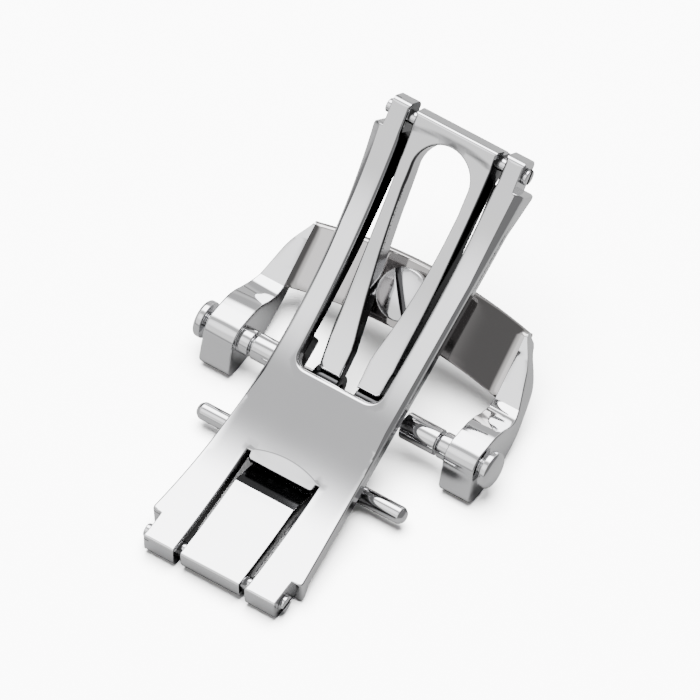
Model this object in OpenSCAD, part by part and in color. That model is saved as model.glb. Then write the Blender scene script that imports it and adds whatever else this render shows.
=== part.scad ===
// Folding strap clasp, lying with its wrist side up and its two leaves folded in
// +X runs across the strap, +Y along it towards the fork hinge, and +Z is up

/* [Base blade] */
// Radius of the hollow wrist face of the blade
blade_r = 45; // [38:0.5:60]
// Length of the blade along its wrist face
blade_len = 38.6; // [36:0.2:44]
// Slope of the blade at its tongue end, in degrees from level
blade_tilt = 2.2; // [0:0.1:5]
// Thickness of the blade
blade_t = 1.2; // [0.9:0.05:1.5]
// Width across the shoulders at both ends
shoulder_w = 13.4; // [12.8:0.1:16]
// Width across the waist
waist_w = 11.2; // [10.4:0.1:12.4]
// Width across the hinge knuckles
knuckle_w = 11.5; // [11:0.1:12.4]
// Height of the hinge knuckles
knuckle_h = 2.2; // [2:0.05:2.5]
// Length of the stepped notch at each corner
notch_len = 2.4; // [2.2:0.05:3]
// Radius of the lower outer edge of a knuckle
knuckle_edge_r = 0.75; // [0.3:0.05:0.95]
// Width of the falling facet along each side at a shoulder
facet_w = 0.7; // [0.3:0.05:0.9]
// Drop of that facet at a shoulder
facet_drop = 0.35; // [0.2:0.01:0.5]

/* [Cutouts in the blade] */
// Half width of the tongue cutout
tongue_cut_half = 3.15; // [2.9:0.05:3.6]
// Length of the tongue cutout along the blade
tongue_cut_len = 10.05; // [9.4:0.05:10.8]
// Reach of the fingernail scoop beyond the tongue cutout
scoop_reach = 0.67; // [0.3:0.01:1]
// Depth of the fingernail scoop
scoop_depth = 0.6; // [0.3:0.01:0.8]
// Half width of the fork cutout at its closed end
fork_cut_half = 3.7; // [3.5:0.05:4.1]
// Half width of the fork cutout between the knuckles
fork_cut_open_half = 4.25; // [4.1:0.05:4.5]
// Distance along the blade from the tongue end to the fork cutout
fork_cut_start = 17.45; // [16.6:0.05:18.6]
// Corner radius of the fork cutout
fork_cut_corner_r = 1; // [0.5:0.05:1.5]

/* [Catch lugs] */
// Depth of the lugs below the wrist face
lug_h = 2.9; // [2.6:0.05:3.4]
// Length of the lugs along the blade
lug_len = 2.6; // [1.8:0.1:3.4]
// Thickness of the lugs across the blade
lug_t = 1.2; // [0.8:0.05:1.5]

/* [Hinge screws] */
// Diameter of the hinge screws
hinge_d = 1.1; // [0.9:0.05:1.2]
// Diameter of their heads
hinge_head_d = 1.3; // [1.25:0.05:1.6]
// Height of their heads
hinge_head_h = 0.4; // [0.3:0.05:0.6]
// Length of screw that stands out at the plain end
hinge_tip = 0.55; // [0.2:0.05:0.6]
// Width of the screwdriver slots in them
hinge_slot_w = 0.35; // [0.25:0.05:0.45]

/* [Fork leaf] */
// Half width of the fork's knuckle
fork_half = 3.65; // [3.4:0.05:3.8]
// Half width of the fork just above the cross bar
fork_tip_half = 3; // [2.6:0.05:3.2]
// Thickness of the fork
fork_t = 1.2; // [0.9:0.05:1.5]
// Radius of the fork's hollow wrist face
fork_r = 90; // [60:1:140]
// Rise of the wrist face above the line of its two axes, at mid length
fork_rise = 0.68; // [0.5:0.02:0.9]
// Width of the keyhole slot at its round end
keyhole_w = 4.7; // [4.2:0.05:5]
// Width of the slot between the tips
slot_w = 1.5; // [1.2:0.05:1.9]
// Length of the narrow part of the slot, from the cross bar
slot_neck_len = 3.5; // [2.6:0.1:4.5]
// Distance from the fork's hinge to the centre of the round end
keyhole_back = 2.9; // [2.85:0.05:3.4]
// Distance from the cross bar to the ends of the two arms
arm_end = 1; // [0.6:0.05:1]
// Half width of the barrel at the end of the fork
barrel_half = 3; // [2.8:0.05:3.2]
// Diameter of that barrel
barrel_d = 2.2; // [1.9:0.05:2.4]

/* [Tongue leaf] */
// Width of the tongue
tongue_w = 5.2; // [4.8:0.05:5.5]
// Length of the tongue that lies flush in the blade
tongue_flush = 7.5; // [6.6:0.05:8.2]
// Distance along the blade from the tongue end to the strap bar
strap_bar_s = 11.8; // [11.4:0.05:12.6]
// Depth of the strap bar's axis below the wrist face
strap_bar_drop = 2.88; // [2.8:0.02:3]
// Diameter of the tongue's barrel round the strap bar
tongue_barrel_d = 2.5; // [2.2:0.05:2.6]
// Diameter of the strap bar
strap_bar_d = 1.38; // [1.2:0.02:1.5]
// Length of the strap bar
strap_bar_len = 18.3; // [17:0.1:18.4]
// Extra diameter of the bar's land inside the tongue's barrel
strap_land_extra = 0.34; // [0.32:0.02:0.4]

/* [Cross bar] */
// Diameter of the two bar tubes and of the bush flanges
tube_d = 2.1; // [1.9:0.05:2.2]
// Distance from the middle to the inner end of a tube
tube_in = 5.1; // [5:0.05:5.6]
// Depth of the bore in a tube for its button stem and spring
tube_bore_len = 1.9; // [1.6:0.05:2]
// Diameter of the latch pins
latch_pin_d = 0.8; // [0.7:0.02:0.9]
// Free height between a closed latch pin and its lug
latch_gap = 0.32; // [0.15:0.01:0.6]
// Diameter of the button stems
stem_d = 1.2; // [1:0.02:1.24]
// Free width between a tube and the bush flange beside it
flange_gap = 0.25; // [0.15:0.01:0.4]
// Visible length of a bush flange
flange_len = 0.95; // [0.7:0.05:1.2]
// Diameter of the button heads
button_d = 2.95; // [2.6:0.05:3.2]
// Height of the button heads
button_h = 0.8; // [0.6:0.05:1]
// Travel of the push buttons
button_travel = 0.3; // [0.15:0.01:0.4]

/* [Buckle frame] */
// Width between the ears, for the strap
strap_gap = 18.6; // [18.4:0.05:19.4]
// Thickness of the ears
ear_t = 2.65; // [2.2:0.05:3]
// Radius of an ear round the cross bar
ear_r = 1.55; // [1.45:0.05:1.8]
// Angle of the front plate from level
plate_tilt = 37; // [30:0.5:40]
// Distance from the cross bar to the near edge of the front plate
plate_near = 5.5; // [5:0.1:6]
// Width of the front plate along the strap
plate_w = 5.4; // [4.8:0.1:6]
// Thickness of the front plate
plate_t = 1.4; // [1.2:0.05:1.6]
// Bow of both edges of the front plate
plate_bow = 1; // [0.5:0.05:1.5]
// Half width of the frame beside the far edge of the plate
plate_far_half = 10.1; // [9.9:0.05:10.4]

/* [Stud] */
// Diameter of the stud's head
stud_head_d = 4.1; // [3.8:0.05:4.3]
// Height of the head above the front plate
stud_h = 2.5; // [2.2:0.05:2.6]
// Thickness of the head
stud_head_t = 0.95; // [0.7:0.05:1.1]
// Diameter of the stud's neck
stud_neck_d = 2.4; // [2:0.05:2.8]
// Distance from the plate's near edge line to the stud
stud_back = 3.75; // [3.5:0.05:4.1]
// Width of the screwdriver slot in the head
stud_slot_w = 0.45; // [0.3:0.05:0.6]
// Turn of that slot from the length of the strap, in degrees
stud_turn = 36; // [0:1:90]

/* [Fits] */
// Radial clearance of parts that turn or slide
run_clear = 0.04; // [0.02:0.01:0.06]
// Radial clearance of parts that are fixed in a bore
seat_clear = 0.01; // [0.01:0.01:0.02]

/* [Hidden] */

// Segments on large curves and on small round parts
fine = 360;
round_n = 64;
// Extra length that a cutting tool stands beyond what it cuts
over = 1;
// Length that the strip and the knuckles of the blade run into each other, and
// that the knuckles stand beyond the notches that cut them to width
lap = 0.2;

// A place on the blade: s runs along its wrist face from the tongue end,
// drop is measured square to that face, away from the wrist
function slope(s) = blade_tilt + s / blade_r * 180 / PI;
function arc_dy(s, drop) = (blade_r + drop) * sin(slope(s));
function arc_dz(s, drop) = -(blade_r + drop) * cos(slope(s));

// Hinge axes lie in the middle of the knuckles
knuckle_mid = knuckle_h / 2 + 0.05;
tongue_hinge_s = knuckle_mid;
fork_hinge_s = blade_len - knuckle_mid;
hinge_drop = knuckle_h / 2;

// Extent of the blade, from which the origin is set below its middle
edge_out = knuckle_mid - knuckle_edge_r;
edge_down = knuckle_h / 2 - knuckle_edge_r;
tongue_slope = slope(tongue_hinge_s);
fork_slope = slope(fork_hinge_s);
front_y = arc_dy(tongue_hinge_s, hinge_drop)
    - knuckle_mid * cos(tongue_slope) - knuckle_h / 2 * sin(tongue_slope);
back_y = arc_dy(fork_hinge_s, hinge_drop)
    + edge_out * cos(fork_slope) + edge_down * sin(fork_slope) + knuckle_edge_r;
low_z = arc_dz(tongue_hinge_s, hinge_drop)
    - edge_out * sin(tongue_slope) - edge_down * cos(tongue_slope) - knuckle_edge_r;
arc_y = -(front_y + back_y) / 2;
arc_z = -low_z;

// Cross bar: its axis lies just below the catch lugs
cross_s = fork_cut_start + 0.25;
cross_drop = lug_h + latch_gap + latch_pin_d / 2;
cross_y = arc_y + arc_dy(cross_s, cross_drop);
cross_z = arc_z + arc_dz(cross_s, cross_drop);

// Fork: a line joins the cross bar and the fork hinge
fork_hinge_y = arc_y + arc_dy(fork_hinge_s, hinge_drop);
fork_hinge_z = arc_z + arc_dz(fork_hinge_s, hinge_drop);
fork_len = norm([fork_hinge_y - cross_y, fork_hinge_z - cross_z]);
fork_angle = atan2(fork_hinge_z - cross_z, fork_hinge_y - cross_y);

// Strap bar
strap_y = arc_y + arc_dy(strap_bar_s, strap_bar_drop);
strap_z = arc_z + arc_dz(strap_bar_s, strap_bar_drop);

// The strap bar's land stands a little out of the tongue's barrel at both ends
strap_land_r = (strap_bar_d + strap_land_extra) / 2;
strap_land_half = tongue_w / 2 + 0.1;

// Places along the cross bar, from the middle outwards
ear_in = strap_gap / 2;
ear_out = ear_in + ear_t;
flange_in = ear_in - flange_len;
tube_out = flange_in - flange_gap;
tube_bore_in = tube_out - tube_bore_len;
button_gap = button_travel + 0.05;
button_in = ear_out + button_gap;
button_out = button_in + button_h;
stem_in = tube_bore_in + 0.9;
bush_r = stem_d / 2 + 0.35;

// Places on the front plate
plate_start = [plate_near, 0.3];

steel = [0.80, 0.80, 0.82];
dark_steel = [0.62, 0.62, 0.65];
bright_steel = [0.90, 0.90, 0.91];

// Puts its children on the blade, with +Y along it and +Z towards the wrist
module on_blade(s, drop = 0) {
    translate([0, arc_y + arc_dy(s, drop), arc_z + arc_dz(s, drop)])
        rotate([slope(s), 0, 0])
            children();
}

// Puts its children on the cross bar, with +Y towards the fork hinge
module on_fork() {
    translate([0, cross_y, cross_z])
        rotate([fork_angle, 0, 0])
            children();
}

// Puts its children at the near edge of the front plate, square to it
module on_plate() {
    translate([0, cross_y + plate_start[0], cross_z + plate_start[1]])
        rotate([plate_tilt, 0, 0])
            children();
}

// Turns an outline drawn in Y and Z into a slab from x0 to x1
module slab(x0, x1) {
    translate([x0, 0, 0])
        rotate([90, 0, 90])
            linear_extrude(x1 - x0)
                children();
}

// A rod along X
module rod(x0, x1, r) {
    translate([x0, 0, 0])
        rotate([0, 90, 0])
            cylinder(h = x1 - x0, r = r, $fn = round_n);
}

// The same thing on both sides
module both_sides() {
    children();
    mirror([1, 0, 0])
        children();
}

// Outline of a curved strip between two places on the blade
module strip_outline(s0, s1, drop0, drop1) {
    reach = 2 * blade_r;
    mid = (s0 + s1) / 2;
    intersection() {
        difference() {
            circle(r = blade_r + drop1, $fn = fine);
            circle(r = blade_r + drop0, $fn = fine);
        }
        polygon([[0, 0],
            [reach * sin(slope(s0)), -reach * cos(slope(s0))],
            [reach * sin(slope(mid)), -reach * cos(slope(mid))],
            [reach * sin(slope(s1)), -reach * cos(slope(s1))]]);
    }
}

module curved_strip(half_w, s0, s1, drop0, drop1) {
    translate([0, arc_y, arc_z])
        slab(-half_w, half_w)
            strip_outline(s0, s1, drop0, drop1);
}

// Waisted outline of the blade, seen square to its middle
module waist_outline() {
    half_len = blade_len / 2 - notch_len;
    sag = (shoulder_w - waist_w) / 2;
    side_r = (half_len * half_len + sag * sag) / (2 * sag);
    difference() {
        square([shoulder_w, blade_len + 2 * over], center = true);
        for (side = [-1, 1])
            translate([side * (waist_w / 2 + side_r), 0])
                circle(r = side_r, $fn = 2 * fine);
    }
}

// Cross section of a knuckle about its hinge axis, outer end towards +Y, before
// the wrist face is cut
module knuckle_outline() {
    inner = notch_len - knuckle_mid;
    translate([-inner, -edge_down])
        square([inner + knuckle_mid, edge_down + knuckle_h / 2 + over]);
    translate([-inner, -knuckle_h / 2])
        square([inner + edge_out, knuckle_h / 2]);
    translate([edge_out, -edge_down])
        circle(r = knuckle_edge_r, $fn = round_n);
    polygon([[-inner, -knuckle_h / 2], [-inner, 0], [-inner - 1, 0]]);
}

// Bore for a hinge screw, right through the knuckles
module hinge_bore() {
    rod(-knuckle_w / 2 - over, knuckle_w / 2 + over, hinge_d / 2 + seat_clear);
}

// The knuckles at one end of the blade, before its cutout parts them and the
// notches cut their sides
module blade_knuckles() {
    slab(-knuckle_w / 2 - lap, knuckle_w / 2 + lap)
        knuckle_outline();
}

// Room for the knuckles' notches: what lies outside the knuckle width
module corner_notch() {
    both_sides()
        translate([knuckle_w / 2, -over, -2 * knuckle_h])
            cube([shoulder_w, notch_len + over, 4 * knuckle_h]);
}

// Cones that cut the falling facets: they leave the wrist face facet_w inside
// the shoulder width, so the facets run out where the blade is narrower
module shoulder_facets() {
    fall = facet_drop / facet_w;
    length = 2 * over + facet_w;
    translate([0, arc_y, arc_z])
        both_sides()
            translate([shoulder_w / 2 - facet_w - over, 0, 0])
                rotate([0, 90, 0])
                    cylinder(h = length, r1 = blade_r - fall * over,
                        r2 = blade_r + fall * (length - over), $fn = fine);
}

module fork_cut_outline() {
    corner = fork_cut_corner_r;
    both_sides() {
        translate([fork_cut_half - corner, corner])
            circle(r = corner, $fn = round_n);
        square([fork_cut_half - corner, corner]);
    }
    far = blade_len - fork_cut_start + over;
    polygon([[-fork_cut_half, corner], [fork_cut_half, corner],
        [fork_cut_open_half, far - notch_len], [fork_cut_open_half, far],
        [-fork_cut_open_half, far], [-fork_cut_open_half, far - notch_len]]);
}

// Cone that cuts the crescent scoop beyond the tongue cutout
module scoop() {
    half = tongue_cut_half - 0.1;
    edge_r = (half * half + scoop_reach * scoop_reach) / (2 * scoop_reach);
    run = scoop_reach / scoop_depth;
    intersection() {
        translate([0, scoop_reach + 0.05 - edge_r, -scoop_depth])
            cylinder(h = scoop_depth + over, r1 = edge_r - scoop_reach,
                r2 = edge_r + over * run, $fn = fine);
        translate([-half - 0.05, -scoop_reach / 2, -blade_t])
            cube([2 * half + 0.1, 3 * scoop_reach, 2 * blade_t]);
    }
}

module base_blade() {
    color(steel)
        difference() {
            union() {
                intersection() {
                    curved_strip(shoulder_w / 2, notch_len - lap,
                        blade_len - notch_len + lap, -over, blade_t);
                    on_blade(blade_len / 2)
                        translate([0, 0, -blade_r / 2])
                            linear_extrude(blade_r)
                                waist_outline();
                }
                on_blade(fork_cut_start)
                    both_sides()
                        translate([fork_cut_half, 0, -lug_h])
                            cube([lug_t, lug_len, lug_h - blade_t / 2]);
                on_blade(fork_hinge_s, hinge_drop)
                    blade_knuckles();
                on_blade(tongue_hinge_s, hinge_drop)
                    mirror([0, 1, 0])
                        blade_knuckles();
            }
            translate([0, arc_y, arc_z])
                rotate([0, 90, 0])
                    cylinder(h = 2 * shoulder_w, r = blade_r, center = true, $fn = fine);
            on_blade(0)
                corner_notch();
            on_blade(blade_len)
                mirror([0, 1, 0])
                    corner_notch();
            shoulder_facets();
            on_blade(tongue_hinge_s, hinge_drop)
                hinge_bore();
            on_blade(fork_hinge_s, hinge_drop)
                hinge_bore();
            on_blade(fork_cut_start)
                translate([0, 0, -lug_h - over])
                    linear_extrude(blade_r)
                        fork_cut_outline();
            on_blade(tongue_cut_len)
                translate([-tongue_cut_half, -tongue_cut_len - 2 * over, -knuckle_h - over])
                    cube([2 * tongue_cut_half, tongue_cut_len + 2 * over, blade_r]);
            on_blade(tongue_cut_len)
                scoop();
        }
}

// Outline of half of the fork in its own plane, from its cross bar to its hinge
module fork_half_outline() {
    knee = slot_neck_len;
    end = fork_len - keyhole_back;
    polygon([[slot_w / 2, arm_end], [fork_tip_half - 0.5, arm_end],
        [fork_tip_half, arm_end + 0.9], [fork_tip_half + 0.35, knee],
        [fork_half, end], [fork_half, fork_len],
        [0, fork_len], [0, end],
        [keyhole_w / 2, end], [keyhole_w * 0.37, (knee + end) / 2],
        [slot_w / 2, knee]]);
}

module fork_leaf() {
    centre_s = fork_len / 2;
    color(bright_steel)
        on_fork()
            difference() {
                union() {
                    intersection() {
                        translate([0, centre_s, fork_rise + fork_r])
                            slab(-fork_half, fork_half)
                                difference() {
                                    circle(r = fork_r + fork_t, $fn = 2 * fine);
                                    circle(r = fork_r, $fn = 2 * fine);
                                    translate([-2 * fork_r, -fork_r / 2])
                                        square(4 * fork_r);
                                }
                        translate([0, 0, -fork_r / 2])
                            linear_extrude(fork_r)
                                both_sides()
                                    fork_half_outline();
                    }
                    translate([0, fork_len, 0])
                        rotate([fork_slope - fork_angle, 0, 0])
                            slab(-fork_half, fork_half)
                                fork_knuckle_outline();
                    both_sides()
                        rod(slot_w / 2, barrel_half, barrel_d / 2);
                }
                translate([0, fork_len - keyhole_back, -fork_r / 2])
                    cylinder(h = fork_r, r = keyhole_w / 2, $fn = round_n);
                translate([0, fork_len, 0])
                    rod(-fork_half - over, fork_half + over, hinge_d / 2 + run_clear);
                rod(-barrel_half - over, barrel_half + over,
                    latch_pin_d / 2 + seat_clear);
            }
}

// Knuckle of a leaf about its hinge axis, its flat top flush with the blade
module leaf_knuckle_outline(r) {
    circle(r = r, $fn = round_n);
    square([r, r]);
}

module fork_knuckle_outline() {
    leaf_knuckle_outline(knuckle_h / 2);
}

module tongue_leaf() {
    half_w = tongue_w / 2;
    knuckle_r = knuckle_h / 2;
    foot_top = [arc_dy(tongue_flush, 0), arc_dz(tongue_flush, 0)];
    foot_bottom = [arc_dy(tongue_flush, blade_t), arc_dz(tongue_flush, blade_t)];
    bar = [strap_y - arc_y, strap_z - arc_z];
    color(bright_steel)
        difference() {
            union() {
                curved_strip(half_w, tongue_hinge_s, tongue_flush, 0, blade_t);
                translate([0, arc_y, arc_z])
                    slab(-half_w, half_w)
                        polygon([foot_top, bar + [0, blade_t / 4],
                            bar - [0, blade_t * 0.75], foot_bottom]);
                on_blade(tongue_hinge_s, hinge_drop)
                    mirror([0, 1, 0])
                        slab(-half_w, half_w)
                            leaf_knuckle_outline(knuckle_r);
                translate([0, strap_y, strap_z])
                    rod(-half_w, half_w, tongue_barrel_d / 2);
            }
            on_blade(tongue_hinge_s, hinge_drop)
                rod(-half_w - over, half_w + over, hinge_d / 2 + run_clear);
            translate([0, strap_y, strap_z])
                rod(-half_w - over, half_w + over, strap_land_r + seat_clear);
        }
}

// A hinge screw along X, its slotted head at +X
module hinge_screw() {
    head_in = knuckle_w / 2 + seat_clear;
    slot_depth = hinge_head_h / 2;
    color(dark_steel)
        difference() {
            union() {
                rod(-knuckle_w / 2 - hinge_tip, head_in, hinge_d / 2);
                rod(head_in, head_in + hinge_head_h, hinge_head_d / 2);
            }
            translate([head_in + hinge_head_h - slot_depth, -hinge_d, -hinge_slot_w / 2])
                cube([over, 2 * hinge_d, hinge_slot_w]);
        }
}

module fork_hinge_screw() {
    on_blade(fork_hinge_s, hinge_drop)
        hinge_screw();
}

module tongue_hinge_screw() {
    on_blade(tongue_hinge_s, hinge_drop)
        hinge_screw();
}

module strap_bar() {
    dome = strap_bar_d / 4;
    straight = strap_bar_len / 2 - dome;
    color(bright_steel)
        translate([0, strap_y, strap_z]) {
            rod(-straight, straight, strap_bar_d / 2);
            rod(-strap_land_half, strap_land_half, strap_land_r);
            both_sides()
                translate([straight, 0, 0])
                    rotate([0, 90, 0])
                        cylinder(h = dome, r1 = strap_bar_d / 2, r2 = strap_bar_d / 4,
                            $fn = round_n);
        }
}

// A point on a smooth curve through b and c, next after a and next before d
function between(a, b, c, d, t) = (2 * b + (c - a) * t + (2 * a - 5 * b + 4 * c - d) * t * t
    + (3 * b - a - 3 * c + d) * t * t * t) / 2;

// A smooth open curve through a list of points
function smooth(p, steps = 6) = let(n = len(p) - 1) concat(
    [for (i = [0 : n - 1], k = [0 : steps - 1])
        between(p[max(i - 1, 0)], p[i], p[i + 1], p[min(i + 2, n)], k / steps)],
    [p[n]]);

// Points on a round stretch
function arc(centre, r, a0, a1, steps = 8) =
    [for (i = [0 : steps]) let(a = a0 + (a1 - a0) * i / steps) centre + r * [cos(a), sin(a)]];

// Side view of an arm of the frame about the cross bar, with its ear and plate end
module arm_outline() {
    along = [cos(plate_tilt), sin(plate_tilt)];
    under = plate_t * [sin(plate_tilt), -cos(plate_tilt)];
    plate_end = plate_start + plate_w * along;
    toe_r = 1.05;
    floor_y = -cross_z;
    top = smooth([plate_start, [4, 0.35], [2.7, 0.75], [1.4, ear_r - 0.12]]);
    bottom = smooth([[2.2, floor_y], [3.4, floor_y + 0.75], [4.8, floor_y + 1.4],
        plate_start + under + 0.3 * plate_w * along]);
    polygon(concat(arc([0, 0], ear_r, 90, 180),
        arc([-1, floor_y + toe_r], toe_r, 180, 270), bottom,
        [plate_end + under, plate_end], top));
}

// Plan of the frame: its sides draw in from the ears to the plate's rounded corners
module frame_plan() {
    far_y = plate_start[0] + plate_w * cos(plate_tilt);
    back_y = far_y + plate_bow + 2 * plate_t;
    side = smooth([[ear_out, -4], [ear_out, 3], [ear_out - 0.15, plate_near],
        [ear_out - 0.7, 7.8], [plate_far_half, far_y - 0.3],
        [plate_far_half - 0.3, far_y + 0.3], [plate_far_half - 1.1, far_y + 1],
        [plate_far_half - 2.8, back_y]]);
    last = len(side) - 1;
    polygon(concat(side, [for (i = [0 : last]) [-side[last - i][0], side[last - i][1]]]));
}

module plate_outline() {
    half = strap_gap / 2;
    edge_r = (half * half + plate_bow * plate_bow) / (2 * plate_bow);
    intersection() {
        difference() {
            translate([0, plate_w + plate_bow - edge_r])
                circle(r = edge_r, $fn = fine);
            translate([0, plate_bow - edge_r])
                circle(r = edge_r, $fn = fine);
        }
        translate([-half - 0.4, -over])
            square([2 * half + 0.8, 2 * plate_w]);
    }
}

module buckle_frame() {
    color(steel)
        difference() {
            intersection() {
                union() {
                    both_sides()
                        translate([0, cross_y, cross_z])
                            slab(ear_in, ear_out)
                                arm_outline();
                    on_plate()
                        translate([0, 0, -plate_t])
                            linear_extrude(plate_t)
                                plate_outline();
                }
                translate([0, cross_y, -over])
                    linear_extrude(2 * cross_z + plate_w + plate_t)
                        frame_plan();
            }
            translate([0, cross_y, cross_z])
                rod(-ear_out - over, ear_out + over, bush_r + seat_clear);
            on_plate()
                translate([0, stud_back, -plate_t * 0.75])
                    cylinder(h = plate_t, r = stud_neck_d / 4 + seat_clear, $fn = round_n);
        }
}

module stud() {
    slot_depth = stud_head_t * 0.4;
    rim = 0.3;
    color(dark_steel)
        on_plate()
            translate([0, stud_back, 0])
                difference() {
                    union() {
                        translate([0, 0, -plate_t * 0.75 + 0.05])
                            cylinder(h = plate_t * 0.75, r = stud_neck_d / 4, $fn = round_n);
                        translate([0, 0, seat_clear])
                            cylinder(h = stud_h - stud_head_t, r = stud_neck_d / 2,
                                $fn = round_n);
                        translate([0, 0, stud_h - stud_head_t])
                            cylinder(h = stud_head_t - rim, r = stud_head_d / 2,
                                $fn = round_n);
                        translate([0, 0, stud_h - rim])
                            cylinder(h = rim, r1 = stud_head_d / 2,
                                r2 = stud_head_d / 2 - rim, $fn = round_n);
                    }
                    rotate([0, 0, stud_turn])
                        translate([-stud_slot_w / 2, -stud_head_d, stud_h - slot_depth])
                            cube([stud_slot_w, 2 * stud_head_d, over]);
                }
}

// The right-hand pieces on the cross bar; the left-hand ones mirror them
module latch_pin() {
    color(dark_steel)
        translate([0, cross_y, cross_z])
            rod(slot_w / 2 + 0.4, tube_bore_in - 0.1, latch_pin_d / 2);
}

module bar_tube() {
    color(bright_steel)
        translate([0, cross_y, cross_z])
            difference() {
                rod(tube_in, tube_out, tube_d / 2);
                rod(tube_in - over, tube_out, latch_pin_d / 2 + seat_clear);
                rod(tube_bore_in, tube_out + over, stem_d / 2 + run_clear);
            }
}

module return_spring() {
    color(dark_steel)
        translate([0, cross_y, cross_z])
            difference() {
                rod(tube_bore_in + seat_clear, stem_in - button_travel - 0.05,
                    stem_d / 2);
                rod(tube_bore_in - over, stem_in, stem_d / 2 - 0.2);
            }
}

module ear_bush() {
    color(bright_steel)
        translate([0, cross_y, cross_z])
            difference() {
                union() {
                    rod(flange_in, ear_in - seat_clear, tube_d / 2);
                    rod(flange_in, ear_out, bush_r);
                }
                rod(flange_in - over, ear_out + over, stem_d / 2 + run_clear);
            }
}

module push_button() {
    rim = 0.25;
    color(bright_steel)
        translate([0, cross_y, cross_z]) {
            rod(stem_in, button_in, stem_d / 2);
            rod(button_in, button_out - rim, button_d / 2);
            translate([button_out - rim, 0, 0])
                rotate([0, 90, 0])
                    cylinder(h = rim, r1 = button_d / 2, r2 = button_d / 2 - rim,
                        $fn = round_n);
        }
}

base_blade();
fork_leaf();
tongue_leaf();
fork_hinge_screw();
tongue_hinge_screw();
strap_bar();
buckle_frame();
stud();
mirror([1, 0, 0]) latch_pin();  // latch_pin_left
latch_pin();  // latch_pin_right
mirror([1, 0, 0]) bar_tube();  // bar_tube_left
bar_tube();  // bar_tube_right
mirror([1, 0, 0]) return_spring();  // return_spring_left
return_spring();  // return_spring_right
mirror([1, 0, 0]) ear_bush();  // ear_bush_left
ear_bush();  // ear_bush_right
mirror([1, 0, 0]) push_button();  // push_button_left
push_button();  // push_button_right
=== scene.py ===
import math
import bpy
import numpy as np
from mathutils import Matrix, Vector
from mathutils.geometry import delaunay_2d_cdt


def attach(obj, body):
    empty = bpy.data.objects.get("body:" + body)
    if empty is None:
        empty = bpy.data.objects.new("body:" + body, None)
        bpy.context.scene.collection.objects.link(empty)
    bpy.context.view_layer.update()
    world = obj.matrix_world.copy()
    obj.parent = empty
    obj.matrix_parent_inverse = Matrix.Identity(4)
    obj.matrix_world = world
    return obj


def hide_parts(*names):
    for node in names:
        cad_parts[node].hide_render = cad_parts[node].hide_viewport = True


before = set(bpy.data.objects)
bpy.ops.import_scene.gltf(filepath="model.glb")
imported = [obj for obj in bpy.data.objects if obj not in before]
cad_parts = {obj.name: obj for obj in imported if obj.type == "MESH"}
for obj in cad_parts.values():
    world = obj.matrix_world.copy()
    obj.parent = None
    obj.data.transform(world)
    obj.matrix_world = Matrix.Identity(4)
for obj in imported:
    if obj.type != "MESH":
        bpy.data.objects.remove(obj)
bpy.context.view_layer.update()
MM = 0.001

# Camera: the photograph's angle, azimuth 33.5 and elevation 53.2 degrees, from so far
# off that it shows next to no perspective
TOWARDS = Vector((0.3306, -0.4995, 0.8007)).normalized()
RIGHT = Vector((0.8339, 0.5519, 0.0)).normalized()
UP = TOWARDS.cross(RIGHT)
LOOK_AT = Vector((1.51, -0.86, 11.86)) * MM
LENS, SENSOR = 1500.0, 36.0
PICTURE_PIXELS, PIXELS_PER_MM = 700, 13.6
WIDTH = PICTURE_PIXELS / PIXELS_PER_MM * MM

cam_data = bpy.data.cameras.new("camera")
cam_data.lens = LENS
cam_data.sensor_width = SENSOR
cam_data.clip_start, cam_data.clip_end = 0.05, 20.0
camera = bpy.data.objects.new("camera", cam_data)
bpy.context.collection.objects.link(camera)
camera.matrix_world = Matrix.Translation(LOOK_AT + TOWARDS * (WIDTH * LENS / SENSOR)) @ Matrix(
    (RIGHT, UP, TOWARDS)).transposed().to_4x4()
bpy.context.scene.camera = camera

# Sizes in mm, as in the CAD. A place on the blade is x across it, s along its curve from
# the near end, and a drop below its face
# Blade: radius of its curve, length along it, and tilt of its near end in degrees
BLADE_R, BLADE_LEN, TILT = 45.0, 38.6, 2.2
# Thickness, height of the knuckles, length of the knuckled ends and rounding of the knuckles
BLADE_T, KNUCKLE_H, NOTCH, KNUCKLE_ROUND = 1.2, 2.2, 2.4, 0.75
# Width over the shoulders, at the waist and over the knuckles
SHOULDER, WAIST, KNUCKLE_W = 13.4, 11.2, 11.5
# Facets that fall off along the sides: full width and drop
FACET_W, FACET_DROP = 0.7, 0.35
# Tongue cutout: half width and length
CUT_A, CUT_A_LEN = 3.15, 10.05
# Fork cutout: half width, half width at its open end, start, and radius of its corners
CUT_B, CUT_B_OPEN, CUT_B_START, CUT_B_CORNER = 3.7, 4.25, 17.45, 1.0
# Distance of each hinge axis from its end of the blade, and radius of the leaves' barrels
HINGE_S, BARREL_R = KNUCKLE_H / 2 + 0.05, 1.1
# Fork: radius of its curve, height of its middle over the line between its axes, thickness
FORK_R, FORK_RISE, FORK_T = 90.0, 0.68, 1.2
# Catch lugs: length along the blade, reach below its face and thickness
LUG_LEN, LUG_H, LUG_T = 2.6, 2.9, 1.2
# Latch pins: gap below the lugs, radius, and radius of their seats
LATCH_GAP, PIN_R, PIN_SEAT_R = 0.32, 0.4, 0.41
# Where the cross bar lies past the fork cutout's start, and where the strap bar lies
CROSS_PAST, STRAP_S, STRAP_DROP = 0.25, 11.8, 2.88


def slope(s):
    return math.radians(TILT) + s / BLADE_R


def arc(s, drop):
    return (BLADE_R + drop) * math.sin(slope(s)), -(BLADE_R + drop) * math.cos(slope(s))


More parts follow.
